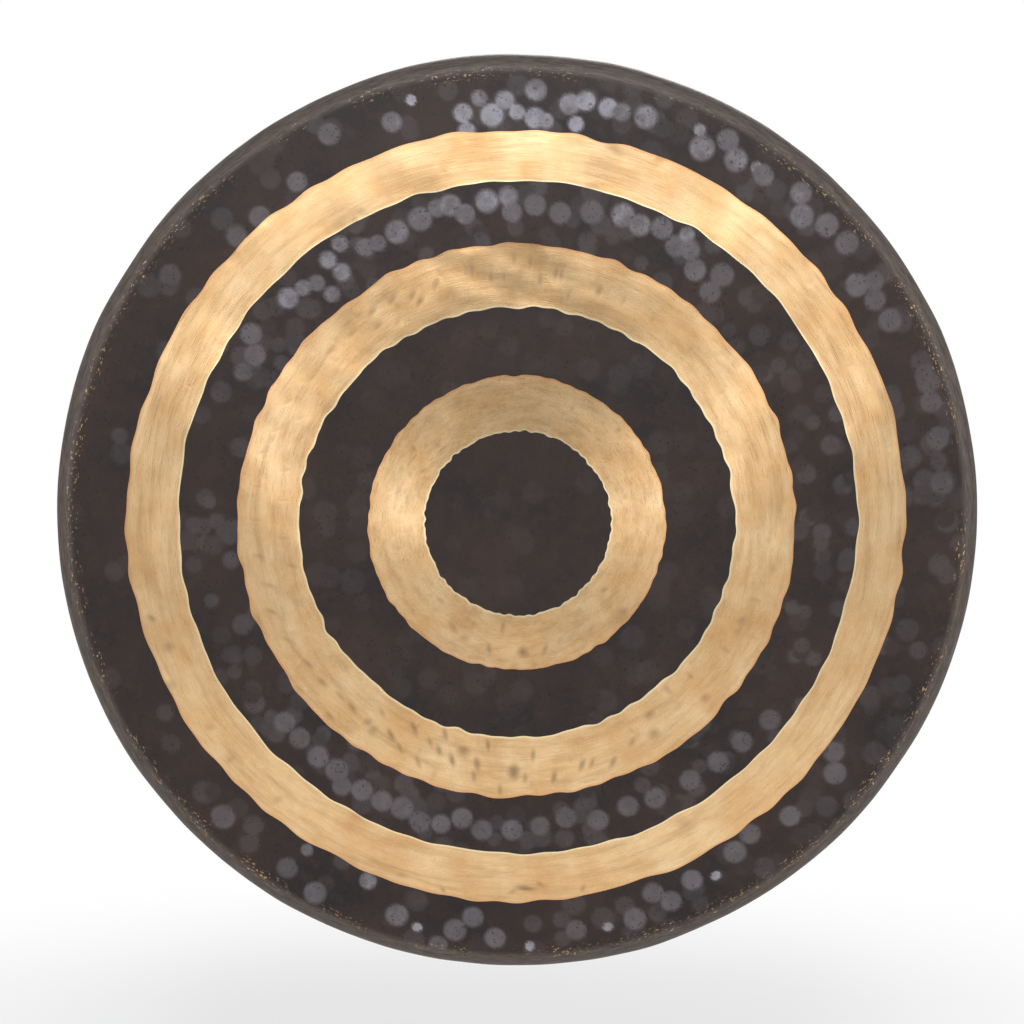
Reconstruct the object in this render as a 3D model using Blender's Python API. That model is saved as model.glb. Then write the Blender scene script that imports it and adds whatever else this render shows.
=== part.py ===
"""A hand-hammered bronze gong with a turned-back rim, three scraped bands and two lined cord holes.

Metres, +Z up. The gong hangs upright and its face looks towards -Y. The origin lies half way between the
centres of its two cord holes, where the cord carries its weight.
"""

import math

import bmesh
import bpy
from mathutils import Vector

# Plate: one beaten sheet, with its face, its shoulder and its rim
GONG_DIAMETER = 0.700
GONG_DEPTH = 0.055
SHEET_THICKNESS = 0.0026
SHOULDER_RADIUS = 0.013
FLAT_MIDDLE_DIAMETER = 0.120
FACE_EDGE_SLOPE = math.radians(5.0)
RIM_DRAFT = math.radians(10.0)
EDGE_BREAK = 0.0005

# Scraped bands: outer diameter and width of each
OUTER_BAND_DIAMETER = 0.589
OUTER_BAND_WIDTH = 0.0380
MIDDLE_BAND_DIAMETER = 0.421
MIDDLE_BAND_WIDTH = 0.0466
INNER_BAND_DIAMETER = 0.224
INNER_BAND_WIDTH = 0.0420
BAND_THICKNESS = 0.0007

# Cord holes, drilled square through the rim, and the grommets that line them
CORD_HOLE_SPACING = 0.210
CORD_HOLE_SETBACK = 0.014
CORD_BORE_DIAMETER = 0.0086
GROMMET_NECK_DIAMETER = 0.0114
GROMMET_FLANGE_DIAMETER = 0.015
GROMMET_FLANGE_THICKNESS = 0.0010
GROMMET_EDGE_ROUND = 0.0003

# Gap that is kept between two pieces that touch
CLEARANCE = 0.0003

# Facets
PLATE_SEGMENTS = 96
GROMMET_SEGMENTS = 32
SHOULDER_STEPS = 6
SMOOTH_BELOW = math.radians(30.0)

# Worked out from the sizes above. A profile is in (radius, height), with height 0 at the face's middle
# and rising towards the front.
FLAT_RADIUS = FLAT_MIDDLE_DIAMETER / 2
SHOULDER_CENTRE_RADIUS = GONG_DIAMETER / 2 - SHOULDER_RADIUS
FACE_RADIUS = SHOULDER_CENTRE_RADIUS + SHOULDER_RADIUS * math.sin(FACE_EDGE_SLOPE)
FACE_RUN = FACE_RADIUS - FLAT_RADIUS
FACE_CROWN = math.tan(FACE_EDGE_SLOPE) * FACE_RUN / 2
SHOULDER_CENTRE_HEIGHT = -FACE_CROWN - SHOULDER_RADIUS * math.cos(FACE_EDGE_SLOPE)
SHOULDER_END_ANGLE = math.pi / 2 + RIM_DRAFT
RECESS_DEPTH = BAND_THICKNESS + CLEARANCE
CORD_HOLE_HEIGHT = CORD_HOLE_SETBACK - GONG_DEPTH


def face_point(radius, below=0.0):
    """The point of the face at this radius, or the one that lies below it, square to the surface."""
    run = max(radius - FLAT_RADIUS, 0.0)
    height = -math.tan(FACE_EDGE_SLOPE) * run * run / (2 * FACE_RUN)
    slope = math.atan(math.tan(FACE_EDGE_SLOPE) * run / FACE_RUN)
    return radius - below * math.sin(slope), height - below * math.cos(slope)


def shoulder_point(angle, below=0.0):
    """The point of the shoulder whose surface looks this far out from the front."""
    arm = SHOULDER_RADIUS - below
    return (
        SHOULDER_CENTRE_RADIUS + arm * math.sin(angle),
        SHOULDER_CENTRE_HEIGHT + arm * math.cos(angle),
    )


def rim_point(height, below=0.0):
    """The point of the straight rim at this height, on its outside or below it in the sheet."""
    start_radius, start_height = shoulder_point(SHOULDER_END_ANGLE, below)
    return start_radius - math.tan(RIM_DRAFT) * (start_height - height), height


def shoulder_run(below=0.0):
    """Points along the shoulder, from the face over its widest place to the rim."""
    turn = math.pi / 2 - FACE_EDGE_SLOPE
    angles = [FACE_EDGE_SLOPE + turn * step / SHOULDER_STEPS for step in range(SHOULDER_STEPS + 1)]
    return [shoulder_point(angle, below) for angle in angles + [SHOULDER_END_ANGLE]]


def band_edges(diameter, width):
    """A band's inner, middle and outer radius."""
    outer = diameter / 2
    return outer - width, outer - width / 2, outer


BANDS = {
    "inner_scraped_band": band_edges(INNER_BAND_DIAMETER, INNER_BAND_WIDTH),
    "middle_scraped_band": band_edges(MIDDLE_BAND_DIAMETER, MIDDLE_BAND_WIDTH),
    "outer_scraped_band": band_edges(OUTER_BAND_DIAMETER, OUTER_BAND_WIDTH),
}


def plate_outline():
    """Half section of the sheet: out over the face, round the shoulder, down the rim and back behind."""
    front = [(0.0, 0.0), face_point(FLAT_RADIUS)]
    for inner, middle, outer in BANDS.values():
        front.append(face_point(inner - CLEARANCE))
        front.append(face_point(inner - CLEARANCE, RECESS_DEPTH))
        front.append(face_point(middle, RECESS_DEPTH))
        front.append(face_point(outer + CLEARANCE, RECESS_DEPTH))
        front.append(face_point(outer + CLEARANCE))
    edge_outside = rim_point(-GONG_DEPTH)
    edge_inside = rim_point(-GONG_DEPTH, SHEET_THICKNESS)
    edge = [
        rim_point(-GONG_DEPTH + EDGE_BREAK),
        (edge_outside[0] - EDGE_BREAK, edge_outside[1]),
        (edge_inside[0] + EDGE_BREAK, edge_inside[1]),
        rim_point(-GONG_DEPTH + EDGE_BREAK, SHEET_THICKNESS),
    ]
    behind = [face_point(FLAT_RADIUS, SHEET_THICKNESS)]
    for inner, _, outer in BANDS.values():
        behind.append(face_point(inner, SHEET_THICKNESS))
        behind.append(face_point(outer, SHEET_THICKNESS))
    back = shoulder_run(SHEET_THICKNESS)[::-1] + behind[::-1] + [(0.0, -SHEET_THICKNESS)]
    return front + shoulder_run() + edge + back


def band_outline(radii):
    """Section of a scraped band: flush with the face in front, and just clear of its recess behind."""
    front = [face_point(radius) for radius in radii]
    back = [face_point(radius, BAND_THICKNESS) for radius in radii]
    return front + back[::-1]


def cord_hole_frame(side):
    """The middle of a cord hole in the sheet, and the rim's outward direction there. side is -1 or 1."""
    radius = rim_point(CORD_HOLE_HEIGHT, SHEET_THICKNESS / 2)[0]
    angle = math.asin(CORD_HOLE_SPACING / 2 / radius)
    centre = Vector((side * radius * math.sin(angle), 0.0, 0.0))
    outward = Vector(
        (
            side * math.cos(RIM_DRAFT) * math.sin(angle),
            math.sin(RIM_DRAFT),
            math.cos(RIM_DRAFT) * math.cos(angle),
        )
    )
    return centre, outward, radius * math.cos(angle)


def grommet_outline():
    """Section of a grommet: a neck through the sheet between two flanges, round a plain bore."""
    bore = CORD_BORE_DIAMETER / 2
    neck = GROMMET_NECK_DIAMETER / 2
    flange = GROMMET_FLANGE_DIAMETER / 2
    soft = GROMMET_EDGE_ROUND
    rim_radius = rim_point(CORD_HOLE_HEIGHT)[0]
    curve_of_rim = flange * flange / (2 * rim_radius)
    outer_seat = SHEET_THICKNESS / 2 + CLEARANCE
    inner_seat = -outer_seat - curve_of_rim
    top = outer_seat + GROMMET_FLANGE_THICKNESS
    bottom = inner_seat - GROMMET_FLANGE_THICKNESS
    return [
        (bore, top - soft),
        (bore + soft, top),
        (flange - soft, top),
        (flange, top - soft),
        (flange, outer_seat),
        (neck, outer_seat),
        (neck, inner_seat),
        (flange, inner_seat),
        (flange, bottom + soft),
        (flange - soft, bottom),
        (bore + soft, bottom),
        (bore, bottom + soft),
    ]


def finish_material(name, colour, roughness, metallic):
    material = bpy.data.materials.new(name)
    material.use_nodes = True
    shader = material.node_tree.nodes["Principled BSDF"]
    shader.inputs["Base Color"].default_value = (*colour, 1.0)
    shader.inputs["Roughness"].default_value = roughness
    shader.inputs["Metallic"].default_value = metallic
    return material


def turned(name, outline, closed, segments, material, parent):
    """A solid of revolution about its own Z axis. An open outline starts and ends on the axis."""
    bm = bmesh.new()
    points = [bm.verts.new((radius, 0.0, height)) for radius, height in outline]
    edges = [bm.edges.new(pair) for pair in zip(points, points[1:])]
    if closed:
        edges.append(bm.edges.new((points[-1], points[0])))
    bmesh.ops.spin(
        bm,
        geom=points + edges,
        cent=(0, 0, 0),
        axis=(0, 0, 1),
        angle=2 * math.pi,
        steps=segments,
        use_merge=True,
    )
    bmesh.ops.remove_doubles(bm, verts=bm.verts, dist=1e-6)
    bmesh.ops.recalc_face_normals(bm, faces=bm.faces)
    mesh = bpy.data.meshes.new(name)
    bm.to_mesh(mesh)
    bm.free()
    mesh.shade_smooth()
    mesh.set_sharp_from_angle(angle=SMOOTH_BELOW)
    mesh.materials.append(material)
    piece = bpy.data.objects.new(name, mesh)
    piece.parent = parent
    bpy.context.scene.collection.objects.link(piece)
    return piece


def empty(name, parent=None):
    frame = bpy.data.objects.new(name, None)
    frame.parent = parent
    bpy.context.scene.collection.objects.link(frame)
    return frame


def drill_cord_hole(plate, side, hole_frame):
    """Cuts one cord hole square through the rim, a clearance wider than the grommet's neck."""
    bm = bmesh.new()
    bmesh.ops.create_cone(
        bm,
        cap_ends=True,
        segments=GROMMET_SEGMENTS,
        radius1=GROMMET_NECK_DIAMETER / 2 + CLEARANCE,
        radius2=GROMMET_NECK_DIAMETER / 2 + CLEARANCE,
        depth=2 * (SHEET_THICKNESS + GROMMET_FLANGE_THICKNESS),
    )
    mesh = bpy.data.meshes.new(f"{side}_cord_hole")
    bm.to_mesh(mesh)
    bm.free()
    cutter = bpy.data.objects.new(f"{side}_cord_hole", mesh)
    cutter.parent = hole_frame
    cutter.hide_render = True
    cutter.display_type = "WIRE"
    bpy.context.scene.collection.objects.link(cutter)
    cut = plate.modifiers.new(f"{side}_cord_hole", "BOOLEAN")
    cut.operation = "DIFFERENCE"
    cut.object = cutter


def main():
    for old in list(bpy.data.objects):
        bpy.data.objects.remove(old, do_unlink=True)

    oxide = finish_material("oxide_bronze", (0.052, 0.036, 0.030), 0.45, 0.75)
    scraped = finish_material("scraped_bronze", (0.68, 0.46, 0.24), 0.32, 1.0)
    rubber = finish_material("grommet_rubber", (0.015, 0.015, 0.016), 0.65, 0.0)

    hanging_point = empty("hanging_point")
    gong_axis = empty("gong_axis", hanging_point)
    drop = cord_hole_frame(1)[2]
    gong_axis.location = (0.0, CORD_HOLE_HEIGHT, -drop)
    gong_axis.rotation_euler = (math.pi / 2, 0.0, 0.0)

    plate = turned("bronze_plate", plate_outline(), False, PLATE_SEGMENTS, oxide, gong_axis)
    for name, radii in BANDS.items():
        turned(name, band_outline(radii), True, PLATE_SEGMENTS, scraped, gong_axis)

    for side, sign in (("left", -1), ("right", 1)):
        centre, outward, _ = cord_hole_frame(sign)
        hole_frame = empty(f"{side}_cord_hole_axis", hanging_point)
        hole_frame.location = centre
        hole_frame.rotation_euler = outward.to_track_quat("Z", "Y").to_euler()
        drill_cord_hole(plate, side, hole_frame)
        turned(f"{side}_cord_grommet", grommet_outline(), True, GROMMET_SEGMENTS, rubber, hole_frame)


main()
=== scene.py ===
"""The looks of a hand-hammered bronze gong: a dark oxide plate with three bands scraped bright.

Every mesh is built about the gong's own centre, in metres: x to the right, y towards the back, z up. A path
runs from the face's middle over the shoulder and down the rim, and a place on the sheet is given by how far
along the path it lies and at which angle round the gong.
"""

import math

import bmesh
import bpy
import numpy as np
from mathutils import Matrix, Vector


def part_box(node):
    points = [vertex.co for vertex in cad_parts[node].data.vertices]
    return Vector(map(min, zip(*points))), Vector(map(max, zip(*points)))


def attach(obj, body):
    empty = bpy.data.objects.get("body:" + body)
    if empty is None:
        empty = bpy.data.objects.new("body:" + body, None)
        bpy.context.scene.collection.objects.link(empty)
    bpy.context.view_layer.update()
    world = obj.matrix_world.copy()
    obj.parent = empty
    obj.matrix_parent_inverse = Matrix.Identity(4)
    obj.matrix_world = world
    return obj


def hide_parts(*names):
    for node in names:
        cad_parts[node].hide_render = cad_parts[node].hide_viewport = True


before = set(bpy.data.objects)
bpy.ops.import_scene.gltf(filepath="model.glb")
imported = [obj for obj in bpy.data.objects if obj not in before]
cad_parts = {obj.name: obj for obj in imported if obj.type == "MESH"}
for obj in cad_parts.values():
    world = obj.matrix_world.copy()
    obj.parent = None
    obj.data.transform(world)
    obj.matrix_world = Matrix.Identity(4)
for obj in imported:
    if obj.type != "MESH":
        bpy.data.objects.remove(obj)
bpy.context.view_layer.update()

# Where the frame has the gong, and how large its parts are
PLATE_LOW, PLATE_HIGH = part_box("bronze_plate")
GONG_RADIUS = (PLATE_HIGH.x - PLATE_LOW.x) / 2
GONG_DEPTH = PLATE_HIGH.y - PLATE_LOW.y
GONG_CENTRE = Vector(((PLATE_LOW.x + PLATE_HIGH.x) / 2, PLATE_LOW.y, (PLATE_LOW.z + PLATE_HIGH.z) / 2))


def node_radii(node):
    """The least and greatest distance of a CAD node from the gong's axis."""
    points = np.array([vertex.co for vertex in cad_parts[node].data.vertices])
    away = np.hypot(points[:, 0] - GONG_CENTRE.x, points[:, 2] - GONG_CENTRE.z)
    return float(away.min()), float(away.max())


INNER_BAND = node_radii("inner_scraped_band")
MIDDLE_BAND = node_radii("middle_scraped_band")
OUTER_BAND = node_radii("outer_scraped_band")

# The sheet's section, as the solids have it
MM = 0.001
SHEET = 2.6 * MM
FLAT_RADIUS = 60 * MM
SHOULDER_RADIUS = 13 * MM
FACE_EDGE_SLOPE = math.radians(5.0)
RIM_DRAFT = math.radians(10.0)
RECESS = 1.0 * MM
BAND_THICKNESS = 0.7 * MM
SCRAPE_DEPTH = 0.10 * MM
BAND_GAP = 0.05 * MM

SHOULDER_CENTRE = GONG_RADIUS - SHOULDER_RADIUS
FACE_END = SHOULDER_CENTRE + SHOULDER_RADIUS * math.sin(FACE_EDGE_SLOPE)
FACE_RUN = FACE_END - FLAT_RADIUS
FACE_CROWN = math.tan(FACE_EDGE_SLOPE) * FACE_RUN / 2
SHOULDER_CENTRE_DEPTH = FACE_CROWN + SHOULDER_RADIUS * math.cos(FACE_EDGE_SLOPE)
SHOULDER_TURN = math.pi / 2 + RIM_DRAFT - FACE_EDGE_SLOPE
SHOULDER_END = FACE_END + SHOULDER_RADIUS * SHOULDER_TURN
RIM_START_DEPTH = SHOULDER_CENTRE_DEPTH + SHOULDER_RADIUS * math.sin(RIM_DRAFT)
PATH_END = SHOULDER_END + (GONG_DEPTH - RIM_START_DEPTH) / math.cos(RIM_DRAFT)

# The camera, fitted to the photograph's circles, and the photograph's own frame in pixels
PHOTO_SIZE = 1024
CAMERA_ELEVATION = math.radians(8.43)
CAMERA_DISTANCE = 2.373
FOCAL_PIXELS = 3152.0
PHOTO_CENTRE = (517.1, 524.0)
PIXEL_ON_FACE = CAMERA_DISTANCE / FOCAL_PIXELS
AIM_ROUNDS = 6
SENSOR_MM = 36.0


def path_point(path, below=0.0):
    """Radius, depth and lean of the sheet's outer side along the path, or of what lies below it."""
    path = np.asarray(path, float)
    run = np.clip(path - FLAT_RADIUS, 0, FACE_RUN)
    face_lean = np.arctan(math.tan(FACE_EDGE_SLOPE) * run / FACE_RUN)
    face_depth = math.tan(FACE_EDGE_SLOPE) * run * run / (2 * FACE_RUN)
    turn_lean = FACE_EDGE_SLOPE + np.clip((path - FACE_END) / SHOULDER_RADIUS, 0, SHOULDER_TURN)
    down = np.clip(path - SHOULDER_END, 0, None)
    turn_radius = SHOULDER_CENTRE + SHOULDER_RADIUS * np.sin(turn_lean) - down * math.sin(RIM_DRAFT)
    turn_depth = SHOULDER_CENTRE_DEPTH - SHOULDER_RADIUS * np.cos(turn_lean) + down * math.cos(RIM_DRAFT)
    on_face = path <= FACE_END
    radius = np.where(on_face, path, turn_radius)
    depth = np.where(on_face, face_depth, turn_depth)
    lean = np.where(on_face, face_lean, turn_lean)
    return radius - below * np.sin(lean), depth + below * np.cos(lean), lean


def from_photo(pixel_x, pixel_y):
    """The place on the face, right of and above its middle, that the photograph shows at a pixel."""
    across = (pixel_x - PHOTO_CENTRE[0]) / FOCAL_PIXELS
    upward = (PHOTO_CENTRE[1] - pixel_y) / FOCAL_PIXELS
    cos_e, sin_e = math.cos(CAMERA_ELEVATION), math.sin(CAMERA_ELEVATION)
    start = np.array([0.0, -CAMERA_DISTANCE * cos_e, CAMERA_DISTANCE * sin_e])
    ray = np.array([across, cos_e + upward * sin_e, upward * cos_e - sin_e])
    depth = 0.0
    for _ in range(AIM_ROUNDS):
        place = start + ray * (depth - start[1]) / ray[1]
        depth = float(path_point(min(math.hypot(place[0], place[2]), FACE_END))[1])
    return float(place[0]), float(place[2])


# Waves in the sheet and in the scraped edges


def waves(x, z, wavelength, height, seed, count=14):
    """A smooth uneven surface: waves that run every way, with lengths about the one given."""
    draw = np.random.default_rng(seed)
    total = np.zeros_like(x)
    for _ in range(count):
        heading = draw.uniform(0, 2 * math.pi)
        length = wavelength * draw.uniform(0.7, 1.5)
        phase = draw.uniform(0, 2 * math.pi)
        total += np.cos((x * math.cos(heading) + z * math.sin(heading)) * 2 * math.pi / length + phase)
    return total * height / math.sqrt(count / 2)


def ring_noise(angle, lengths, seed):
    """Noise round a circle, of unit size, from whole-numbered waves about the given counts per turn."""
    draw = np.random.default_rng(seed)
    total = np.zeros_like(angle)
    for count in lengths:
        total += draw.uniform(0.5, 1.0) * np.cos(count * angle + draw.uniform(0, 2 * math.pi))
    return total / math.sqrt(len(lengths) / 2)


EDGE_WAVES = (9, 13, 17, 22, 26, 31, 37, 44, 53, 61)
EDGE_SWELL = (2, 3, 4, 5, 7)
SWELL_SHARE = 0.5
SWELL_SEED_STEP = 50
EDGE_REACH = 11 * MM

# Each scraped edge: where it lies, its seed, how rough it is, and how far its circle sits off centre
EDGES = (
    (INNER_BAND[0], 11, 0.55 * MM, (0.6 * MM, 0.4 * MM)),
    (INNER_BAND[1], 12, 0.55 * MM, (-0.3 * MM, 0.1 * MM)),
    (MIDDLE_BAND[0], 13, 0.80 * MM, (0.0, -0.4 * MM)),
    (MIDDLE_BAND[1], 14, 0.85 * MM, (-0.5 * MM, -0.7 * MM)),
    (OUTER_BAND[0], 15, 0.75 * MM, (0.5 * MM, 0.1 * MM)),
    (OUTER_BAND[1], 16, 0.95 * MM, (-0.8 * MM, -0.2 * MM)),
)


def edge_wander(index, angle):
    """How far a scraped edge strays outward from its circle at each angle."""
    _, seed, rough, off = EDGES[index]
    wander = rough * ring_noise(angle, EDGE_WAVES, seed)
    wander = wander + SWELL_SHARE * rough * ring_noise(angle, EDGE_SWELL, seed + SWELL_SEED_STEP)
    return wander + off[0] * np.cos(angle) + off[1] * np.sin(angle)


def strayed(path, angle):
    """The path place moved with the scraped edge that lies nearest to it."""
    moved = np.array(path, float)
    for index, (radius, *_) in enumerate(EDGES):
        share = np.clip(1 - np.abs(path - radius) / EDGE_REACH, 0, 1)
        moved = moved + share * edge_wander(index, angle)
    return moved


# Hammer marks: each is (x, z, radius, depth, tone), in metres and with tone 0 dark to 1 light; the tone is
# partly burnish and partly painted sheen


def scattered_marks(seed, reach, count, size, depth, tone, thin=None):
    """Marks scattered over a ring of the sheet. thin gives the share that is kept at each angle."""
    draw = np.random.default_rng(seed)
    marks = []
    for _ in range(count):
        path = draw.uniform(*reach)
        angle = draw.uniform(0, 2 * math.pi)
        radius = draw.uniform(*size)
        sunk = draw.uniform(*depth)
        light = draw.uniform(*tone)
        keep = draw.uniform()
        if thin is None or keep < thin(angle):
            marks.append((path * math.cos(angle), path * math.sin(angle), radius, sunk, light))
    return marks


# Light round marks that show in the photograph: pixel x, y, radius, and tone; their lightness is partly
# burnish and partly painted highlight, most at the top and bottom
OUTER_MARKS = (
    (329, 134, 12, 0.40), (392, 122, 11, 0.55), (411, 100, 6, 0.95), (297, 182, 11, 0.45),
    (260, 217, 12, 0.38), (237, 237, 11, 0.34), (170, 275, 12, 0.22), (463, 113, 11, 0.75),
    (467, 131, 10, 0.80), (479, 98, 9, 0.60), (492, 115, 13, 0.85), (505, 100, 11, 0.70),
    (517, 112, 9, 0.80), (536, 90, 12, 0.62), (535, 118, 12, 0.78), (546, 121, 9, 0.70),
    (570, 104, 12, 0.68), (586, 101, 11, 0.80), (576, 124, 9, 0.85), (608, 108, 11, 0.82),
    (622, 112, 10, 0.55), (646, 117, 13, 0.62), (700, 130, 7, 0.70), (702, 148, 14, 0.60),
    (728, 140, 12, 0.52), (736, 160, 13, 0.58), (757, 168, 7, 0.72), (764, 176, 11, 0.50),
    (762, 172, 9, 0.48), (801, 193, 12, 0.55), (802, 216, 13, 0.58), (827, 225, 13, 0.50),
    (847, 243, 13, 0.42), (857, 285, 13, 0.48), (874, 281, 11, 0.36), (875, 300, 12, 0.34),
    (890, 320, 13, 0.36), (925, 375, 12, 0.22), (928, 382, 13, 0.26), (931, 402, 12, 0.30),
    (938, 438, 13, 0.28), (942, 483, 13, 0.24), (834, 752, 12, 0.36), (835, 773, 13, 0.40),
    (790, 816, 12, 0.42), (750, 834, 12, 0.36), (735, 852, 13, 0.44), (716, 876, 6, 0.85),
    (692, 880, 12, 0.52), (671, 901, 12, 0.42), (653, 893, 12, 0.40), (635, 919, 13, 0.46),
    (608, 927, 6, 0.75), (576, 930, 12, 0.34), (530, 946, 6, 0.80), (223, 817, 14, 0.34),
    (307, 850, 7, 0.55), (287, 868, 12, 0.32), (315, 893, 13, 0.42), (368, 881, 10, 0.62),
    (397, 915, 13, 0.52), (417, 927, 6, 0.85), (455, 930, 13, 0.44), (473, 917, 12, 0.46),
    (495, 938, 12, 0.52), (438, 945, 11, 0.36),
)
SECOND_MARKS = (
    (340, 244, 9, 0.62), (328, 260, 10, 0.62), (342, 272, 10, 0.66), (365, 247, 10, 0.55),
    (378, 243, 9, 0.48), (397, 232, 13, 0.60), (420, 219, 13, 0.55), (437, 208, 10, 0.50),
    (450, 205, 12, 0.62), (465, 214, 11, 0.55), (487, 201, 13, 0.66), (508, 196, 11, 0.58),
    (512, 212, 11, 0.54), (535, 205, 12, 0.44), (560, 213, 12, 0.38), (592, 212, 13, 0.40),
    (623, 215, 13, 0.62), (640, 225, 12, 0.60), (662, 228, 12, 0.54), (676, 246, 12, 0.44),
    (687, 235, 9, 0.62), (690, 250, 11, 0.50), (695, 270, 12, 0.48), (722, 275, 13, 0.36),
    (710, 292, 12, 0.34), (288, 298, 12, 0.66), (303, 288, 9, 0.60), (332, 294, 9, 0.60),
    (317, 283, 9, 0.50), (251, 334, 12, 0.46), (255, 355, 12, 0.42), (243, 372, 10, 0.30),
    (285, 722, 12, 0.40), (300, 738, 12, 0.36), (318, 757, 12, 0.44), (337, 770, 13, 0.42),
    (342, 786, 11, 0.40), (362, 790, 12, 0.50), (382, 801, 12, 0.44), (402, 808, 13, 0.42),
    (420, 822, 12, 0.40), (441, 824, 11, 0.50), (462, 818, 12, 0.44), (482, 830, 12, 0.38),
    (512, 830, 12, 0.46), (540, 826, 11, 0.36), (566, 818, 12, 0.34), (598, 820, 12, 0.40),
    (628, 806, 12, 0.36), (655, 798, 12, 0.40), (690, 780, 12, 0.36), (718, 762, 12, 0.38),
    (742, 742, 12, 0.34), (770, 720, 12, 0.30),
)


def photo_marks(listed, depth):
    """The listed marks as places on the face. The lighter ones are the deeper."""
    marks = []
    for pixel_x, pixel_y, radius, tone in listed:
        x, z = from_photo(pixel_x, pixel_y)
        marks.append((x, z, radius * PIXEL_ON_FACE, depth * (0.7 + 0.6 * tone), tone))
    return marks


def outer_share(angle):
    """The dark outer band is beaten most to the right, and least at the left."""
    return 0.35 + 0.65 * (0.5 + 0.5 * math.cos(angle))


# Scattered marks: seed, the ring they lie in, tries, and the least and greatest radius, depth and tone
OUTER_RING = (OUTER_BAND[1] - 4 * MM, FACE_END)
OUTER_ZONE = (21, OUTER_RING, 260, (7 * MM, 10 * MM), (0.05 * MM, 0.16 * MM), (0.02, 0.16))
SECOND_RING = (MIDDLE_BAND[1] - 3 * MM, OUTER_BAND[0] + 3 * MM)
SECOND_ZONE = (22, SECOND_RING, 260, (6 * MM, 9 * MM), (0.05 * MM, 0.15 * MM), (0.02, 0.18))
THIRD_RING = (INNER_BAND[1], MIDDLE_BAND[0])
THIRD_ZONE = (23, THIRD_RING, 90, (7 * MM, 11 * MM), (0.02 * MM, 0.07 * MM), (0.0, 0.07))
CENTRE_ZONE = (24, (0, INNER_BAND[0]), 14, (7 * MM, 11 * MM), (0.02 * MM, 0.05 * MM), (0.0, 0.05))
RIM_RING = (SHOULDER_END, PATH_END)
RIM_ZONE = (25, RIM_RING, 420, (8 * MM, 13 * MM), (0.03 * MM, 0.12 * MM), (0.0, 0.20))
BACK_ZONE = (26, (0, FACE_END), 1500, (8 * MM, 15 * MM), (0.05 * MM, 0.18 * MM), (0.02, 0.30))

OUTER_MARK_DEPTH = 0.16 * MM
SECOND_MARK_DEPTH = 0.15 * MM
MARK_EDGE = 0.22

FRONT_MARKS = (
    scattered_marks(*OUTER_ZONE, outer_share)
    + scattered_marks(*SECOND_ZONE)
    + scattered_marks(*THIRD_ZONE)
    + scattered_marks(*CENTRE_ZONE)
    + photo_marks(OUTER_MARKS, OUTER_MARK_DEPTH)
    + photo_marks(SECOND_MARKS, SECOND_MARK_DEPTH)
    + scattered_marks(*RIM_ZONE)
)
BACK_MARKS = scattered_marks(*BACK_ZONE)

# Unevenness of the sheet: wavelength, height and seed
SWELL = (110 * MM, 0.28 * MM, 31)
FRONT_RIPPLE = (45 * MM, 0.07 * MM, 32)
BACK_RIPPLE = (30 * MM, 0.06 * MM, 33)


def beaten(x, z, marks):
    """Depth and tone that the marks leave at each place. The tone is that of the last mark over it."""
    sunk = np.zeros_like(x)
    tone = np.zeros_like(x)
    for mark_x, mark_z, radius, depth, light in marks:
        near = (np.abs(x - mark_x) < radius) & (np.abs(z - mark_z) < radius)
        index = np.nonzero(near)[0]
        if not len(index):
            continue
        share = ((x[index] - mark_x) ** 2 + (z[index] - mark_z) ** 2) / radius**2
        bowl = np.clip(1 - share, 0, None) ** 2
        sunk[index] = np.maximum(sunk[index], depth * bowl)
        cover = np.clip((1 - np.sqrt(share)) / MARK_EDGE, 0, 1)
        tone[index] += (light - tone[index]) * cover
    return sunk, tone


def front_relief(x, z):
    """Height and tone of the sheet's outer side, without the scraped bands' own dents."""
    sunk, tone = beaten(x, z, FRONT_MARKS)
    return waves(x, z, *SWELL) + waves(x, z, *FRONT_RIPPLE) - sunk, tone


def back_relief(x, z):
    """Height and tone of the sheet's hollow side."""
    sunk, tone = beaten(x, z, BACK_MARKS)
    return waves(x, z, *SWELL) + waves(x, z, *BACK_RIPPLE) - sunk, tone


# Meshes from rings of points round the gong's axis

SHARP_ANGLE = math.radians(50)


def link(item):
    bpy.context.scene.collection.objects.link(item)


def loop_of(path, count, below, relief):
    """One ring of points, and the tone or stain at each."""
    angle = np.arange(count) * 2 * math.pi / count
    along = strayed(np.full(count, float(path)), angle)
    x, z = along * np.cos(angle), along * np.sin(angle)
    height, tone = relief(x, z)
    radius, depth, lean = path_point(along, below)
    radius = radius + height * np.sin(lean)
    depth = depth - height * np.cos(lean)
    points = np.stack([radius * np.cos(angle), depth, radius * np.sin(angle)], 1)
    return points, tone


def stitched(first, second, start_first, start_second):
    """Faces between two rings whose counts may differ."""
    if first == second:
        index = np.arange(first)
        following = (index + 1) % first
        return [
            (start_first + a, start_second + a, start_second + b, start_first + b)
            for a, b in zip(index.tolist(), following.tolist())
        ]
    faces = []
    a = b = 0
    while a < first or b < second:
        if b >= second or (a < first and (a + 1) * second <= (b + 1) * first):
            third = start_first + (a + 1) % first
            faces.append((start_first + a % first, start_second + b % second, third))
            a += 1
        else:
            third = start_second + (b + 1) % second
            faces.append((start_first + a % first, start_second + b % second, third))
            b += 1
    return faces


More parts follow.
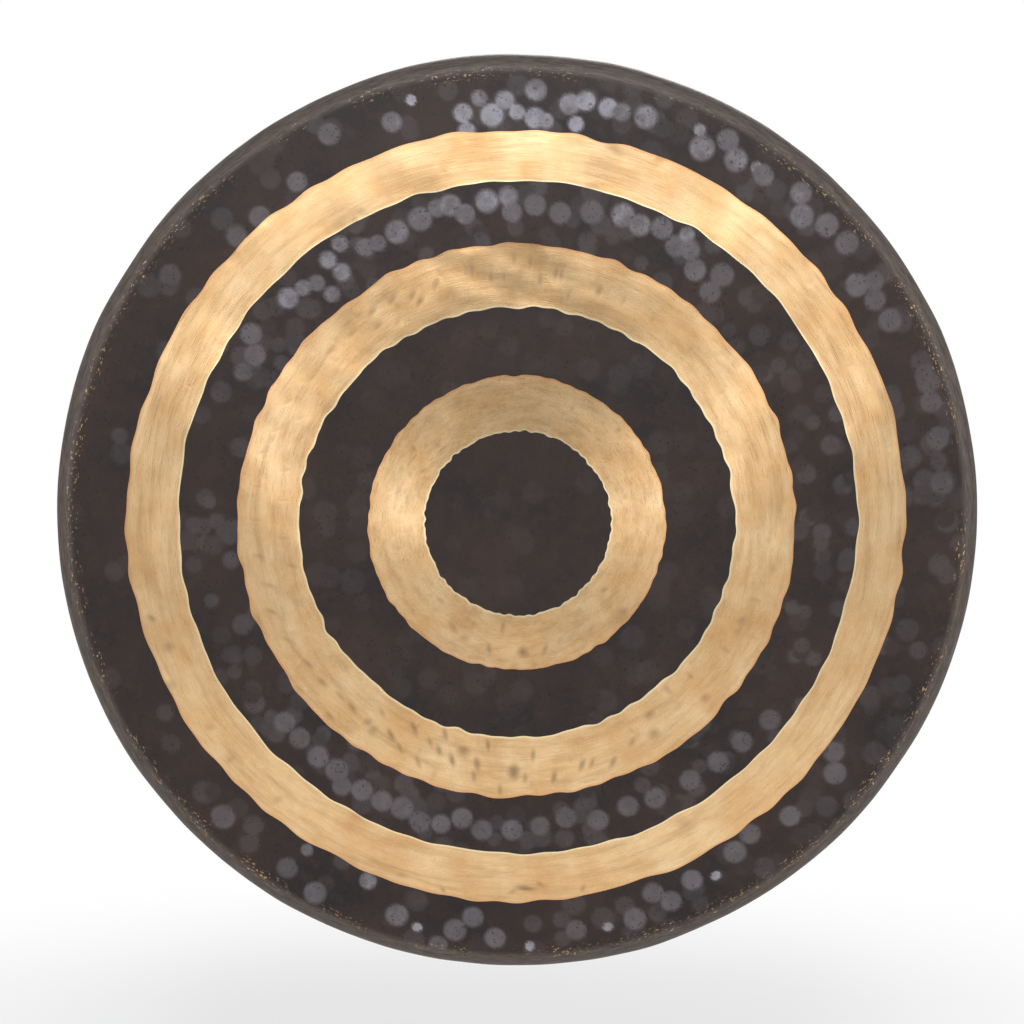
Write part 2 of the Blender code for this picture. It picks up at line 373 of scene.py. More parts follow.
def ring_mesh(name, loops, closed, attributes, tip_front=None, tip_back=None):
    """A mesh from rings of points. A closed one joins its last ring to its first, another ends in tips."""
    points, faces, starts = [], [], []
    values = {key: [] for key in attributes}
    total = 0
    for loop in loops:
        starts.append(total)
        points.append(loop["points"])
        for key in attributes:
            values[key].append(loop[key])
        total += len(loop["points"])
    counts = [len(loop["points"]) for loop in loops]
    pairs = list(zip(range(len(loops)), range(1, len(loops))))
    if closed:
        pairs.append((len(loops) - 1, 0))
    for one, other in pairs:
        faces += stitched(counts[one], counts[other], starts[one], starts[other])
    for tip, ring, forward in ((tip_front, 0, False), (tip_back, len(loops) - 1, True)):
        if tip is None:
            continue
        points.append(np.array([tip]))
        for key in attributes:
            values[key].append(np.zeros(1))
        count, start = counts[ring], starts[ring]
        for step in range(count):
            corner, following = start + step, start + (step + 1) % count
            faces.append((total, following, corner) if forward else (total, corner, following))
        total += 1
    mesh = bpy.data.meshes.new(name)
    mesh.from_pydata(np.concatenate(points).tolist(), [], faces)
    for key in attributes:
        layer = mesh.attributes.new(key, "FLOAT", "POINT")
        layer.data.foreach_set("value", np.concatenate(values[key]).astype(np.float32))
    turned = bmesh.new()
    turned.from_mesh(mesh)
    bmesh.ops.recalc_face_normals(turned, faces=turned.faces)
    turned.to_mesh(mesh)
    turned.free()
    mesh.shade_smooth()
    mesh.set_sharp_from_angle(angle=SHARP_ANGLE)
    piece = bpy.data.objects.new(name, mesh)
    piece.location = GONG_CENTRE
    link(piece)
    return piece


def steps(start, end, spacing):
    """Even places from start to end, about the spacing apart."""
    return np.linspace(start, end, max(2, round(abs(end - start) / spacing) + 1))


# How the plate is divided: points round each zone, and the places where the rings start and thin out
CENTRE_COUNT = 256
THIRD_COUNT = 512
SECOND_COUNT = 864
OUTER_COUNT = 1152
RIM_COUNT = 576
BACK_COUNT = 288
FIRST_RING = 3 * MM
LAST_RING = 5 * MM
BACK_THINS = 120 * MM
EDGE_BREAK = 0.5 * MM

# Each zone: where it starts and ends along the path, the rings' spacing and the points round
FRONT_ZONES = (
    (FIRST_RING, INNER_BAND[0] - BAND_GAP, 2.5 * MM, CENTRE_COUNT),
    (INNER_BAND[1] + BAND_GAP, MIDDLE_BAND[0] - BAND_GAP, 2.4 * MM, THIRD_COUNT),
    (MIDDLE_BAND[1] + BAND_GAP, OUTER_BAND[0] - BAND_GAP, 1.8 * MM, SECOND_COUNT),
    (OUTER_BAND[1] + BAND_GAP, FACE_END, 1.75 * MM, OUTER_COUNT),
)
FOLD_ZONES = (
    (FACE_END, SHOULDER_END, 2.2 * MM, OUTER_COUNT),
    (SHOULDER_END, PATH_END - EDGE_BREAK, 3.4 * MM, RIM_COUNT),
)
BACK_ZONES = (
    (PATH_END, SHOULDER_END, 8 * MM, RIM_COUNT),
    (SHOULDER_END, FACE_END, 4 * MM, RIM_COUNT),
    (FACE_END, BACK_THINS, 5.5 * MM, BACK_COUNT),
    (BACK_THINS, LAST_RING, 5.5 * MM, BACK_COUNT // 2),
)


def plate_loops():
    """The whole sheet: dark zones, recesses under the bands, shoulder, rim, back edge and hollow side."""
    loops = []

    def add(path, count, below=0.0, relief=front_relief):
        points, tone = loop_of(path, count, below, relief)
        loops.append({"points": points, "tone": tone})

    for start, end, spacing, count in FRONT_ZONES:
        if loops:
            add(start, count, RECESS)
        for path in steps(start, end, spacing):
            add(path, count)
        if end < FACE_END:
            add(end, count, RECESS)
    for start, end, spacing, count in FOLD_ZONES:
        for path in steps(start, end, spacing)[1:]:
            add(path, count)
    add(PATH_END, RIM_COUNT, EDGE_BREAK)
    add(PATH_END, RIM_COUNT, SHEET - EDGE_BREAK)
    add(PATH_END - EDGE_BREAK, RIM_COUNT, SHEET, back_relief)
    for start, end, spacing, count in BACK_ZONES:
        for path in steps(start, end, spacing)[1:]:
            add(path, count, SHEET, back_relief)
    return loops


def build_plate():
    tip = front_relief(np.zeros(1), np.zeros(1))[0][0]
    back_tip = back_relief(np.zeros(1), np.zeros(1))[0][0]
    return ring_mesh(
        "beaten_plate",
        plate_loops(),
        False,
        ("tone",),
        tip_front=(0.0, -tip, 0.0),
        tip_back=(0.0, SHEET - back_tip, 0.0),
    )


# Dents that the scraper left dark on each band. Each is pixel x, y, length, width, heading in degrees
# (anticlockwise from the right), and darkness
INNER_DENTS = (
    (523, 652, 12, 11, 0, 1.0), (622, 612, 14, 11, 20, 0.8), (464, 638, 11, 8, 0, 0.6),
    (438, 446, 8, 6, 30, 0.7), (426, 446, 8, 6, 60, 0.7), (414, 449, 9, 6, 120, 0.8),
    (424, 471, 10, 7, 10, 0.7), (410, 475, 9, 6, 100, 0.6), (474, 428, 8, 6, 0, 0.6),
    (480, 414, 7, 6, 0, 0.5), (618, 430, 8, 6, 40, 0.7), (607, 478, 7, 5, 0, 0.6),
    (625, 497, 8, 6, 90, 0.7), (572, 409, 8, 5, 60, 0.7), (453, 627, 15, 6, 120, 0.7),
    (489, 649, 14, 5, 100, 0.7), (503, 626, 15, 5, 80, 0.7), (545, 649, 14, 5, 70, 0.7),
    (591, 629, 14, 6, 50, 0.7), (604, 590, 12, 6, 20, 0.6), (400, 512, 9, 6, 10, 0.5),
    (398, 548, 9, 6, 170, 0.5), (440, 600, 10, 6, 140, 0.5), (560, 640, 12, 5, 60, 0.5),
    (640, 555, 9, 6, 0, 0.4), (632, 470, 8, 6, 20, 0.4), (512, 395, 10, 5, 90, 0.4),
    (540, 402, 9, 5, 80, 0.4), (452, 417, 9, 6, 130, 0.5), (390, 490, 8, 6, 0, 0.4),
)
MIDDLE_DENTS = (
    (472, 270, 15, 6, 95, 0.9), (491, 277, 15, 6, 92, 0.9), (504, 277, 14, 5, 90, 0.8),
    (514, 259, 13, 6, 90, 0.7), (530, 262, 14, 5, 85, 0.8), (540, 281, 15, 6, 85, 0.9),
    (556, 273, 15, 7, 80, 1.0), (561, 275, 14, 6, 80, 1.0), (568, 296, 12, 5, 78, 0.7),
    (599, 291, 13, 7, 70, 0.8), (368, 722, 10, 9, 0, 0.7), (373, 730, 12, 10, 40, 0.7),
    (391, 735, 16, 6, 118, 0.9), (414, 728, 16, 6, 112, 0.9), (445, 734, 14, 6, 104, 0.8),
    (439, 750, 13, 6, 104, 0.7), (452, 760, 15, 6, 102, 0.9), (463, 751, 13, 11, 0, 0.8),
    (477, 764, 15, 7, 98, 0.9), (474, 777, 12, 6, 98, 0.7), (488, 745, 14, 5, 95, 0.8),
    (514, 772, 17, 13, 90, 1.0), (533, 755, 14, 5, 86, 0.7), (554, 777, 15, 6, 80, 0.8),
    (418, 762, 13, 5, 110, 0.7), (654, 733, 13, 11, 30, 0.8), (650, 715, 12, 9, 40, 0.7),
    (705, 698, 11, 9, 40, 0.6), (613, 762, 14, 6, 65, 0.8), (582, 765, 15, 6, 72, 0.8),
    (592, 763, 13, 5, 70, 0.7), (768, 540, 11, 8, 90, 0.6), (773, 569, 12, 8, 100, 0.6),
    (741, 620, 12, 8, 30, 0.6), (352, 708, 15, 6, 128, 0.8), (340, 696, 15, 5, 130, 0.7),
    (322, 682, 15, 6, 135, 0.8), (308, 664, 14, 5, 140, 0.7), (330, 716, 14, 5, 130, 0.6),
    (300, 690, 14, 5, 140, 0.6), (287, 640, 13, 5, 150, 0.6), (272, 612, 15, 5, 155, 0.7),
    (268, 585, 15, 5, 162, 0.7), (292, 566, 14, 5, 165, 0.6), (258, 556, 14, 5, 168, 0.6),
    (283, 538, 14, 5, 172, 0.6), (256, 520, 14, 5, 178, 0.6), (284, 500, 15, 5, 182, 0.6),
    (258, 486, 14, 5, 186, 0.6), (286, 470, 14, 5, 190, 0.6), (262, 452, 15, 5, 194, 0.7),
    (276, 430, 14, 5, 200, 0.6), (300, 418, 13, 5, 205, 0.6), (288, 402, 14, 5, 208, 0.6),
    (312, 378, 13, 5, 216, 0.6), (330, 352, 14, 6, 222, 0.7), (352, 334, 13, 6, 228, 0.7),
    (372, 312, 15, 7, 232, 0.9), (392, 300, 14, 7, 236, 0.9), (378, 326, 12, 6, 230, 0.7),
    (412, 296, 14, 7, 242, 0.9), (420, 302, 12, 6, 240, 0.9), (436, 284, 13, 6, 248, 0.7),
    (398, 322, 12, 5, 236, 0.5), (448, 296, 12, 5, 250, 0.5), (624, 300, 12, 5, 62, 0.5),
    (652, 320, 12, 5, 55, 0.4), (690, 350, 12, 5, 45, 0.4), (722, 392, 12, 5, 34, 0.4),
    (748, 440, 12, 5, 22, 0.4), (762, 482, 12, 5, 12, 0.4), (756, 600, 12, 5, 160, 0.5),
    (726, 650, 13, 5, 145, 0.5), (690, 676, 12, 5, 135, 0.5), (668, 690, 13, 6, 130, 0.5),
    (632, 742, 13, 6, 60, 0.6), (500, 790, 13, 5, 92, 0.6), (525, 778, 12, 5, 88, 0.6),
    (400, 748, 14, 5, 115, 0.7), (382, 712, 13, 5, 120, 0.6), (430, 742, 12, 5, 108, 0.6),
)
OUTER_DENTS = (
    (189, 385, 7, 4, 160, 1.0), (183, 365, 10, 5, 30, 0.4), (150, 395, 10, 5, 90, 0.4),
    (810, 281, 11, 10, 0, 0.5), (756, 232, 10, 6, 40, 0.3), (843, 360, 13, 4, 130, 0.5),
    (850, 366, 8, 4, 10, 0.6), (891, 454, 9, 7, 60, 0.5), (888, 446, 8, 4, 30, 0.4),
    (151, 618, 12, 7, 150, 0.8), (169, 647, 14, 12, 0, 0.6), (170, 685, 13, 11, 0, 0.5),
    (210, 727, 12, 9, 0, 0.4), (230, 760, 12, 8, 30, 0.4), (277, 800, 13, 9, 30, 0.4),
    (401, 875, 12, 7, 0, 0.4), (443, 890, 9, 5, 120, 0.6), (583, 888, 9, 5, 60, 0.6),
    (525, 888, 20, 6, 170, 0.9), (512, 892, 12, 5, 20, 0.6), (540, 884, 10, 5, 150, 0.6),
    (357, 816, 12, 16, 60, 0.3), (685, 824, 26, 14, 150, 0.3), (615, 150, 18, 8, 150, 0.5),
)


# A dent fades at its edge, so its own reach is a little over half of the length that is seen
DENT_HALF = 0.62
DENT_CUT = 1.4
DENT_FALL = 1.6
STAIN_FALL = 1.3
STAIN_CUT = 0.25
EDGE_CLEAR = 3 * MM


def band_dents(listed, depth):
    """The listed dents as places on the face, each with its reach along and across."""
    dents = []
    for pixel_x, pixel_y, length, width, heading, dark in listed:
        x, z = from_photo(pixel_x, pixel_y)
        reach = (length * PIXEL_ON_FACE * DENT_HALF, width * PIXEL_ON_FACE * DENT_HALF)
        dents.append((x, z, *reach, math.radians(heading), depth * dark, dark))
    return dents


def scattered_dents(seed, band, count, length, width, depth, dark):
    """Small dents across a band, each with its length laid along the radius."""
    draw = np.random.default_rng(seed)
    dents = []
    for _ in range(count):
        path = draw.uniform(band[0] + EDGE_CLEAR, band[1] - EDGE_CLEAR)
        angle = draw.uniform(0, 2 * math.pi)
        heading = angle + draw.normal(0, 0.25)
        size = draw.uniform(0.7, 1.3)
        shade = draw.uniform(*dark)
        x, z = path * math.cos(angle), path * math.sin(angle)
        dents.append((x, z, length * size, width * size, heading, depth * size, shade))
    return dents


def dented(x, z, dents):
    """Depth and darkness that oval dents leave at each place."""
    sunk = np.zeros_like(x)
    dark = np.zeros_like(x)
    for dent_x, dent_z, length, width, heading, depth, shade in dents:
        reach = length * DENT_CUT
        near = (np.abs(x - dent_x) < reach) & (np.abs(z - dent_z) < reach + width)
        index = np.nonzero(near)[0]
        if not len(index):
            continue
        off_x, off_z = x[index] - dent_x, z[index] - dent_z
        along = off_x * math.cos(heading) + off_z * math.sin(heading)
        across = off_z * math.cos(heading) - off_x * math.sin(heading)
        share = (along / length) ** 2 + (across / width) ** 2
        sunk[index] += depth * np.exp(-DENT_FALL * share)
        cover = np.clip((1 + STAIN_CUT) * np.exp(-STAIN_FALL * share) - STAIN_CUT, 0, 1)
        dark[index] = np.maximum(dark[index], shade * cover)
    return sunk, dark


# Each band: its edges, CAD node, points round and rings' spacing, dents, and its ripple's length and height
BANDS = {
    "inner": {
        "span": INNER_BAND,
        "node": "inner_scraped_band",
        "count": 640,
        "spacing": 1.05 * MM,
        "dents": band_dents(INNER_DENTS, 0.10 * MM)
        + scattered_dents(41, INNER_BAND, 30, 4.5 * MM, 2.2 * MM, 0.04 * MM, (0.05, 0.3)),
        "ripple": (26 * MM, 0.030 * MM),
    },
    "middle": {
        "span": MIDDLE_BAND,
        "node": "middle_scraped_band",
        "count": 1152,
        "spacing": 1.15 * MM,
        "dents": band_dents(MIDDLE_DENTS, 0.11 * MM)
        + scattered_dents(42, MIDDLE_BAND, 90, 5.5 * MM, 2.2 * MM, 0.05 * MM, (0.05, 0.3)),
        "ripple": (30 * MM, 0.050 * MM),
    },
    "outer": {
        "span": OUTER_BAND,
        "node": "outer_scraped_band",
        "count": 1536,
        "spacing": 1.2 * MM,
        "dents": band_dents(OUTER_DENTS, 0.10 * MM)
        + scattered_dents(43, OUTER_BAND, 40, 6 * MM, 3 * MM, 0.03 * MM, (0.0, 0.12)),
        "ripple": (38 * MM, 0.045 * MM),
    },
}
BAND_RIPPLE_SEED = 61
BAND_BACK_SPACING = 6 * MM


def build_band(key):
    """A scraped band: its bright front, its thin edges and its back, which the recess hides."""
    band = BANDS[key]
    low, high = band["span"]

    def relief(x, z):
        height, _ = front_relief(x, z)
        sunk, dark = dented(x, z, band["dents"])
        return height - sunk + waves(x, z, *band["ripple"], BAND_RIPPLE_SEED), dark

    loops = []

    def add(path, below):
        points, dark = loop_of(path, band["count"], below, relief)
        across = np.full(band["count"], (path - low) / (high - low))
        loops.append({"points": points, "stain": dark, "across": across})

    for path in steps(low, high, band["spacing"]):
        add(path, SCRAPE_DEPTH)
    for path in steps(high, low, BAND_BACK_SPACING):
        add(path, BAND_THICKNESS)
    return ring_mesh(f"{key}_bright_band", loops, True, ("stain", "across"))


# Materials


class Tree:
    """Short calls for building the nodes of one material, or of the world."""

    def __init__(self, owner):
        owner.use_nodes = True
        self.owner = owner
        self.nodes = owner.node_tree.nodes
        self.links = owner.node_tree.links
        self.shader = self.nodes.get("Principled BSDF")

    def add(self, kind, **settings):
        node = self.nodes.new(kind)
        for key, value in settings.items():
            setattr(node, key, value)
        return node

    def feed(self, socket, value):
        if isinstance(value, bpy.types.NodeSocket):
            self.links.new(value, socket)
        elif isinstance(value, tuple) and socket.type == "RGBA":
            socket.default_value = (*value, 1.0)
        else:
            socket.default_value = value

    def math(self, operation, *values, clamp=False):
        node = self.add("ShaderNodeMath", operation=operation, use_clamp=clamp)
        for socket, value in zip(node.inputs, values):
            self.feed(socket, value)
        return node.outputs[0]

    def spread(self, value, low, high, to_low=0.0, to_high=1.0, smooth=False):
        """The value mapped from one range to another, and held at its ends."""
        node = self.add("ShaderNodeMapRange", clamp=True)
        if smooth:
            node.interpolation_type = "SMOOTHSTEP"
        for socket, part in zip(node.inputs, (value, low, high, to_low, to_high)):
            self.feed(socket, part)
        return node.outputs[0]

    def mix(self, share, first, second, blend="MIX"):
        node = self.add("ShaderNodeMix", data_type="RGBA", blend_type=blend)
        self.feed(node.inputs[0], share)
        self.feed(node.inputs[6], first)
        self.feed(node.inputs[7], second)
        return node.outputs[2]

    def noise(self, vector, scale, detail=2.0, rough=0.5):
        node = self.add("ShaderNodeTexNoise")
        self.feed(node.inputs["Vector"], vector)
        self.feed(node.inputs["Scale"], scale)
        self.feed(node.inputs["Detail"], detail)
        self.feed(node.inputs["Roughness"], rough)
        return node.outputs["Fac"]

    def attribute(self, name):
        return self.add("ShaderNodeAttribute", attribute_name=name).outputs["Fac"]

    def place(self):
        """The place in the gong's own frame, its radius from the axis, and its direction there."""
        place = self.add("ShaderNodeTexCoord").outputs["Object"]
        apart = self.add("ShaderNodeSeparateXYZ")
        self.feed(apart.inputs[0], place)
        x, _, z = apart.outputs
        radius = self.math("SQRT", self.math("ADD", self.math("MULTIPLY", x, x), self.math("MULTIPLY", z, z)))
        safe = self.math("MAXIMUM", radius, MM)
        return place, radius, self.math("DIVIDE", x, safe), self.math("DIVIDE", z, safe)

    def streaks(self, radius, cosine, sine, fine, turns, detail=2.0, rough=0.5):
        """Noise drawn out round the gong: fine across the radius, and long round the turn."""
        joined = self.add("ShaderNodeCombineXYZ")
        self.feed(joined.inputs[0], self.math("MULTIPLY", radius, fine))
        self.feed(joined.inputs[1], self.math("MULTIPLY", cosine, turns))
        self.feed(joined.inputs[2], self.math("MULTIPLY", sine, turns))
        return self.noise(joined.outputs[0], 1.0, detail, rough)

    def bump(self, height, strength, distance):
        node = self.add("ShaderNodeBump")
        self.feed(node.inputs["Strength"], strength)
        self.feed(node.inputs["Distance"], distance)
        self.feed(node.inputs["Height"], height)
        self.feed(self.shader.inputs["Normal"], node.outputs[0])


OXIDE_BROWN = (0.022, 0.0110, 0.0080)
OXIDE_BLACK = (0.0085, 0.0055, 0.0055)
OXIDE_RUST = (0.028, 0.014, 0.010)
# Facet colours: burnished bronze with painted sheen; the pale one is a painted bluish reflection of the room
FACET_MAUVE_SHEEN = (0.120, 0.108, 0.118)
FACET_PAINTED_SHEEN = (0.260, 0.262, 0.310)
# Shoulder colours: brushed streaks; the lighter one is a painted reflection of the bright room
SHOULDER_PAINTED_SHEEN = (0.105, 0.082, 0.068)
SHOULDER_DARK = (0.045, 0.034, 0.029)
WEAR_BRASS = (0.52, 0.34, 0.17)
PORE_SHADE = (0.3, 0.28, 0.28)
WHITE = (1.0, 1.0, 1.0)


def oxide_material():
    """Fire oxide on beaten bronze: brown-black and mottled, and paler on the hammer facets, which is partly
    burnish and partly painted sheen.
    """
    tree = Tree(bpy.data.materials.new("oxide_bronze_beaten"))
    place, radius, cosine, sine = tree.place()
    cloud = tree.noise(place, scale=16.0, detail=3.0, rough=0.6)
    mottle = tree.noise(place, scale=120.0, detail=3.0, rough=0.65)
    grain = tree.noise(place, scale=900.0, detail=2.0, rough=0.6)
    colour = tree.mix(tree.spread(cloud, 0.35, 0.65), OXIDE_BLACK, OXIDE_BROWN)
    colour = tree.mix(tree.spread(mottle, 0.5, 0.75, 0.0, 0.7), colour, OXIDE_RUST)
    # The tone paints the hammer facets lighter: partly burnish, partly painted highlight and painted
    # reflection
    tone = tree.attribute("tone")
    burnish_and_sheen = tree.math("MULTIPLY", tone, tree.spread(mottle, 0.25, 0.7, 0.75, 1.15))
    colour = tree.mix(tree.spread(burnish_and_sheen, 0.0, 0.75), colour, FACET_MAUVE_SHEEN)
    colour = tree.mix(tree.spread(burnish_and_sheen, 0.55, 1.1), colour, FACET_PAINTED_SHEEN)
    pores = tree.spread(tree.noise(place, scale=420.0, detail=1.0, rough=0.5), 0.30, 0.36, 0.25, 1.0)
    colour = tree.mix(1.0, colour, tree.mix(pores, PORE_SHADE, WHITE), "MULTIPLY")
    brushed = tree.streaks(radius, cosine, sine, fine=900.0, turns=30.0, detail=3.0, rough=0.6)
    # The shoulder is painted a lighter brushed grey all round: a painted reflection of the bright room
    on_shoulder = tree.spread(radius, FACE_END - 3 * MM, FACE_END + 3 * MM, smooth=True)
    shoulder_sheen = tree.mix(tree.spread(brushed, 0.35, 0.7), SHOULDER_DARK, SHOULDER_PAINTED_SHEEN)
    colour = tree.mix(tree.math("MULTIPLY", on_shoulder, 0.85), colour, shoulder_sheen)
    flecks = tree.streaks(radius, cosine, sine, fine=700.0, turns=95.0, detail=2.0, rough=0.7)
    fold = tree.math(
        "MULTIPLY",
        tree.spread(radius, FACE_END - 8 * MM, FACE_END - 1 * MM, smooth=True),
        tree.spread(radius, FACE_END + 5 * MM, FACE_END + 1 * MM, smooth=True),
    )
    patches = tree.spread(tree.noise(place, scale=22.0, detail=2.0, rough=0.6), 0.42, 0.62)
    worn = tree.math("MULTIPLY", tree.math("MULTIPLY", fold, patches), tree.spread(flecks, 0.60, 0.66))
    colour = tree.mix(tree.math("MULTIPLY", worn, 0.85), colour, WEAR_BRASS)
    tree.feed(tree.shader.inputs["Base Color"], colour)
    rough = tree.spread(burnish_and_sheen, 0.0, 0.8, 0.50, 0.36)
    rough = tree.math("ADD", rough, tree.spread(grain, 0.3, 0.7, -0.05, 0.07))
    tree.feed(tree.shader.inputs["Roughness"], rough)
    tree.feed(tree.shader.inputs["Metallic"], tree.math("MULTIPLY", worn, 0.9))
    tree.shader.inputs["Specular IOR Level"].default_value = 0.30
    fine = tree.math("ADD", tree.math("MULTIPLY", grain, 0.4), tree.math("MULTIPLY", mottle, 0.6))
    tree.bump(fine, strength=0.25, distance=0.3 * MM)
    return tree.owner


BRONZE = (0.70, 0.42, 0.19)
BRONZE_PALE = (0.84, 0.60, 0.34)
BRONZE_DEEP = (0.45, 0.25, 0.11)
STAIN_BROWN = (0.17, 0.105, 0.060)
# Painted bevel shading at the bands' edges: a copper shade line outside and a pale highlight line inside
EDGE_SHADE_COPPER = (0.72, 0.36, 0.16)
EDGE_HIGHLIGHT_PALE = (0.95, 0.82, 0.52)


def scraped_material():
    """Bronze scraped bright in circles, with fine tool lines, dull dents, and painted bevel shading at each
    edge: a copper painted shade outside and a pale painted highlight inside.
    """
    tree = Tree(bpy.data.materials.new("scraped_bronze_bright"))
    place, radius, cosine, sine = tree.place()
    lines = tree.streaks(radius, cosine, sine, fine=1500.0, turns=12.0, detail=3.0, rough=0.6)
    sweeps = tree.streaks(radius, cosine, sine, fine=160.0, turns=5.0, detail=3.0, rough=0.6)
    cloud = tree.noise(place, scale=30.0, detail=3.0, rough=0.6)
    colour = tree.mix(tree.spread(cloud, 0.3, 0.7), BRONZE, BRONZE_PALE)
    colour = tree.mix(tree.spread(sweeps, 0.45, 0.75, 0.0, 0.55), colour, BRONZE_DEEP)
    colour = tree.mix(tree.spread(lines, 0.55, 0.72, 0.0, 0.30), colour, BRONZE_DEEP)
    # Painted bevel shading: a darker copper line at the outer edge and a pale highlight line at the inner
    # edge
    across = tree.attribute("across")
    outer_edge_shade = tree.spread(across, 0.955, 0.985, smooth=True)
    inner_edge_highlight = tree.spread(across, 0.045, 0.015, smooth=True)
    colour = tree.mix(tree.math("MULTIPLY", outer_edge_shade, 0.7), colour, EDGE_SHADE_COPPER)
    colour = tree.mix(tree.math("MULTIPLY", inner_edge_highlight, 0.7), colour, EDGE_HIGHLIGHT_PALE)
    stain = tree.attribute("stain")
    broken = tree.math("MULTIPLY", stain, tree.spread(lines, 0.3, 0.7, 1.0, 0.6))
    colour = tree.mix(tree.math("MULTIPLY", broken, 0.85, clamp=True), colour, STAIN_BROWN)
    tree.feed(tree.shader.inputs["Base Color"], colour)
    rough = tree.math("ADD", tree.spread(lines, 0.3, 0.7, 0.24, 0.34), tree.math("MULTIPLY", stain, 0.2))
    tree.feed(tree.shader.inputs["Roughness"], rough)
    tree.shader.inputs["Metallic"].default_value = 1.0
    tree.shader.inputs["Anisotropic"].default_value = 0.7
    tangent = tree.add("ShaderNodeTangent", direction_type="RADIAL", axis="Y")
    tree.feed(tree.shader.inputs["Tangent"], tangent.outputs[0])
    tree.bump(lines, strength=0.18, distance=0.15 * MM)
    return tree.owner


RUBBER_BLACK = (0.012, 0.012, 0.013)
RUBBER_BLOOM = (0.030, 0.030, 0.031)


def rubber_material():
    """Matt black moulded rubber with a faint bloom."""
    tree = Tree(bpy.data.materials.new("grommet_rubber_moulded"))
    place = tree.add("ShaderNodeTexCoord").outputs["Object"]
    bloom = tree.noise(place, scale=300.0, detail=3.0, rough=0.6)
    tree.feed(tree.shader.inputs["Base Color"], tree.mix(bloom, RUBBER_BLACK, RUBBER_BLOOM))
    tree.feed(tree.shader.inputs["Roughness"], tree.spread(bloom, 0.3, 0.7, 0.55, 0.75))
    skin = tree.noise(place, scale=2500.0, detail=2.0, rough=0.5)
    tree.bump(skin, strength=0.2, distance=0.1 * MM)
    return tree.owner


# Light, floor and camera

FLOOR_BELOW = 0.25
FLOOR_SPAN = 40.0
FLOOR_PALE = (0.86, 0.86, 0.86)
SHADOW_REACH = 1.3
SHADOW_FULL = 0.6
# How bright the metal sees the far floor, and between which distances it dims to that
MIRROR_DIM = 0.40
MIRROR_DIMS = (2.1, 3.2)

# The room as the metal sees it: its plain level, the dim part in front, and the bright strip over that
ROOM_LEVEL = 0.80
FRONT_DIM = 0.45
STRIP_BRIGHT = 2.6
DIFFUSE_DIM = -0.25

# Area lights: name, place from the gong's centre, width and height, and power in watts
LIGHTS = (
    ("key_box", (0.0, -2.2, 1.5), (0.9, 0.5), 30),
    ("left_box", (-2.2, -1.6, 0.3), (0.8, 1.4), 16),
    ("right_box", (2.2, -1.6, 0.5), (0.8, 1.4), 22),
    ("back_box", (0.3, 2.4, 1.6), (1.4, 1.0), 30),
)


def floor_material():
    """A pale floor: matt and shaded near the gong, and plain white farther off."""
    tree = Tree(bpy.data.materials.new("pale_floor"))
    place = tree.add("ShaderNodeTexCoord").outputs["Object"]
    away = tree.add("ShaderNodeVectorMath", operation="LENGTH")
    tree.feed(away.inputs[0], place)
    far = tree.spread(away.outputs["Value"], SHADOW_REACH * SHADOW_FULL, SHADOW_REACH, smooth=True)
    ray = tree.add("ShaderNodeLightPath")
    seen = tree.math("MAXIMUM", ray.outputs["Is Camera Ray"], ray.outputs["Is Glossy Ray"])
    seen = tree.math("MAXIMUM", seen, ray.outputs["Is Transmission Ray"])
    tree.feed(tree.shader.inputs["Base Color"], FLOOR_PALE)
    tree.feed(tree.shader.inputs["Roughness"], 0.9)
    white = tree.add("ShaderNodeEmission")
    tree.feed(white.inputs["Color"], WHITE)
    mirrored = tree.spread(away.outputs["Value"], *MIRROR_DIMS, 1.0, MIRROR_DIM, smooth=True)
    shown = tree.spread(ray.outputs["Is Glossy Ray"], 0.0, 1.0, 1.0, mirrored)
    tree.feed(white.inputs["Strength"], shown)
    blend = tree.add("ShaderNodeMixShader")
    tree.feed(blend.inputs[0], tree.math("MULTIPLY", far, seen))
    tree.feed(blend.inputs[1], tree.shader.outputs[0])
    tree.feed(blend.inputs[2], white.outputs[0])
    tree.feed(tree.nodes["Material Output"].inputs["Surface"], blend.outputs[0])
    return tree.owner


def build_floor():
    mesh = bpy.data.meshes.new("floor")
    half = FLOOR_SPAN / 2
    corners = [(-half, -half, 0), (half, -half, 0), (half, half, 0), (-half, half, 0)]
    mesh.from_pydata(corners, [], [(0, 1, 2, 3)])
    floor = bpy.data.objects.new("floor", mesh)
    floor.location = (GONG_CENTRE.x, GONG_CENTRE.y, PLATE_LOW.z - FLOOR_BELOW)
    mesh.materials.append(floor_material())
    link(floor)


def soft_box(name, place, size, power):
    """An area light that looks at the gong's middle."""
    light = bpy.data.lights.new(name, "AREA")
    light.shape = "RECTANGLE"
    light.size, light.size_y = size
    light.energy = power
    box = bpy.data.objects.new(name, light)
    box.location = GONG_CENTRE + Vector(place)
    box.rotation_euler = (GONG_CENTRE - box.location).to_track_quat("-Z", "Y").to_euler()
    link(box)


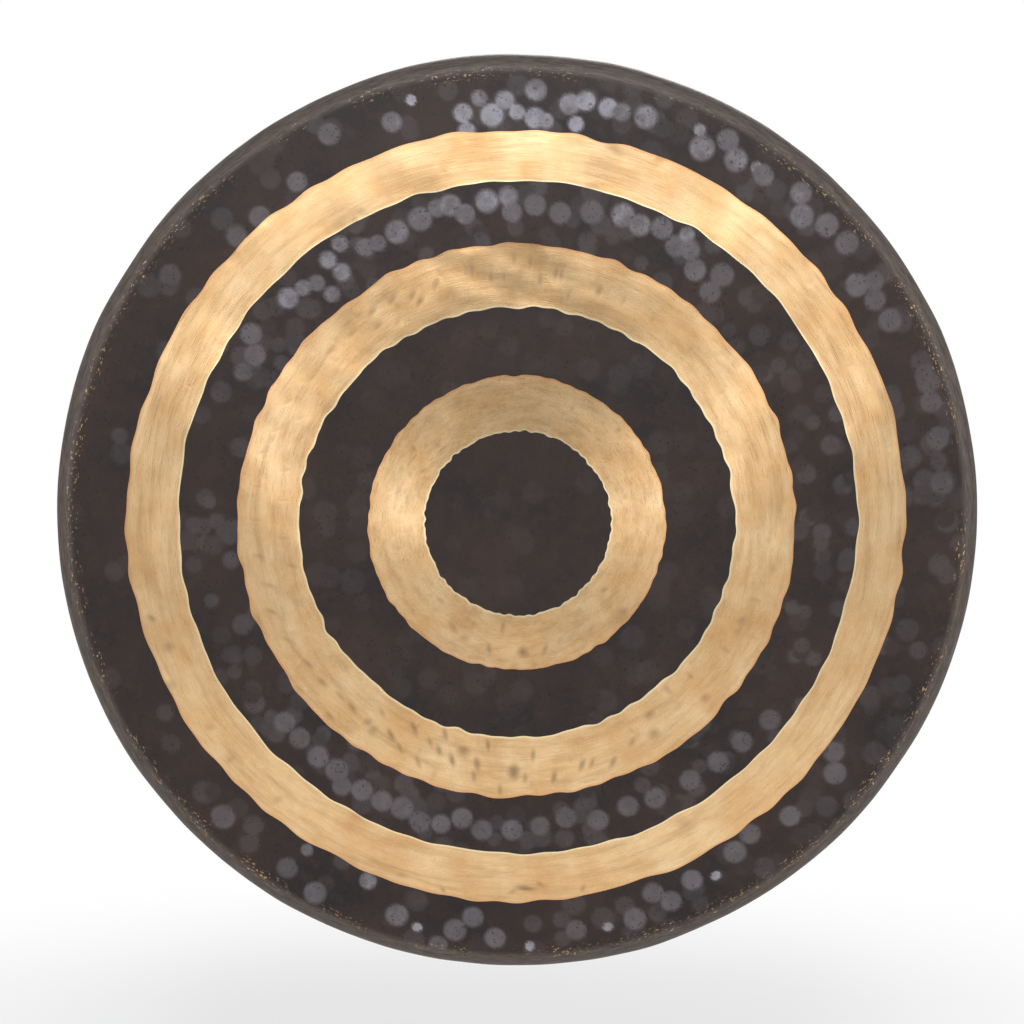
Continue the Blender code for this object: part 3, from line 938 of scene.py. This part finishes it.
def build_world():
    """A room that is white to the camera. The metal sees a dim part of it in front, under a bright strip."""
    tree = Tree(bpy.data.worlds.new("studio"))
    bpy.context.scene.world = tree.owner
    apart = tree.add("ShaderNodeSeparateXYZ")
    tree.feed(apart.inputs[0], tree.add("ShaderNodeTexCoord").outputs["Generated"])
    across, forward, upward = apart.outputs
    front = tree.spread(forward, -0.55, -0.85, smooth=True)
    low = tree.spread(upward, 0.10, 0.02, smooth=True)
    strip = tree.math("MULTIPLY", front, tree.spread(upward, 0.035, 0.075, smooth=True))
    narrow = tree.spread(tree.math("ABSOLUTE", across), 0.12, 0.07, smooth=True)
    strip = tree.math("MULTIPLY", strip, narrow)
    dim = tree.math("MULTIPLY", tree.math("MULTIPLY", front, low), FRONT_DIM)
    level = tree.math("SUBTRACT", ROOM_LEVEL, dim)
    level = tree.math("ADD", level, tree.math("MULTIPLY", strip, STRIP_BRIGHT))
    ray = tree.add("ShaderNodeLightPath")
    diffuse = tree.math("MULTIPLY", ray.outputs["Is Diffuse Ray"], DIFFUSE_DIM)
    level = tree.math("ADD", level, diffuse)
    seen = tree.spread(ray.outputs["Is Camera Ray"], 0.0, 1.0, level, 1.0)
    back = tree.nodes["Background"]
    tree.feed(back.inputs["Color"], WHITE)
    tree.feed(back.inputs["Strength"], seen)


def build_camera():
    lens = bpy.data.cameras.new("camera")
    lens.sensor_width = SENSOR_MM
    lens.lens = FOCAL_PIXELS / PHOTO_SIZE * SENSOR_MM
    lens.shift_x = (PHOTO_SIZE / 2 - PHOTO_CENTRE[0]) / PHOTO_SIZE
    lens.shift_y = (PHOTO_CENTRE[1] - PHOTO_SIZE / 2) / PHOTO_SIZE
    camera = bpy.data.objects.new("camera", lens)
    away = Vector((0, -math.cos(CAMERA_ELEVATION), math.sin(CAMERA_ELEVATION)))
    camera.location = GONG_CENTRE + CAMERA_DISTANCE * away
    camera.rotation_euler = (-away).to_track_quat("-Z", "Y").to_euler()
    link(camera)
    bpy.context.scene.camera = camera


def dress(piece, node):
    """Sets a piece on the gong's one body, in place of its CAD node."""
    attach(piece, "root")
    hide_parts(node)


def main():
    oxide = oxide_material()
    bright = scraped_material()
    plate = build_plate()
    plate.data.materials.append(oxide)
    dress(plate, "bronze_plate")
    for key, band in BANDS.items():
        piece = build_band(key)
        piece.data.materials.append(bright)
        dress(piece, band["node"])
    rubber = rubber_material()
    for side in ("left", "right"):
        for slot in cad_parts[f"{side}_cord_grommet"].material_slots:
            slot.material = rubber
    build_floor()
    build_world()
    for light in LIGHTS:
        soft_box(*light)
    build_camera()
    bpy.context.scene.view_settings.view_transform = "Standard"


main()
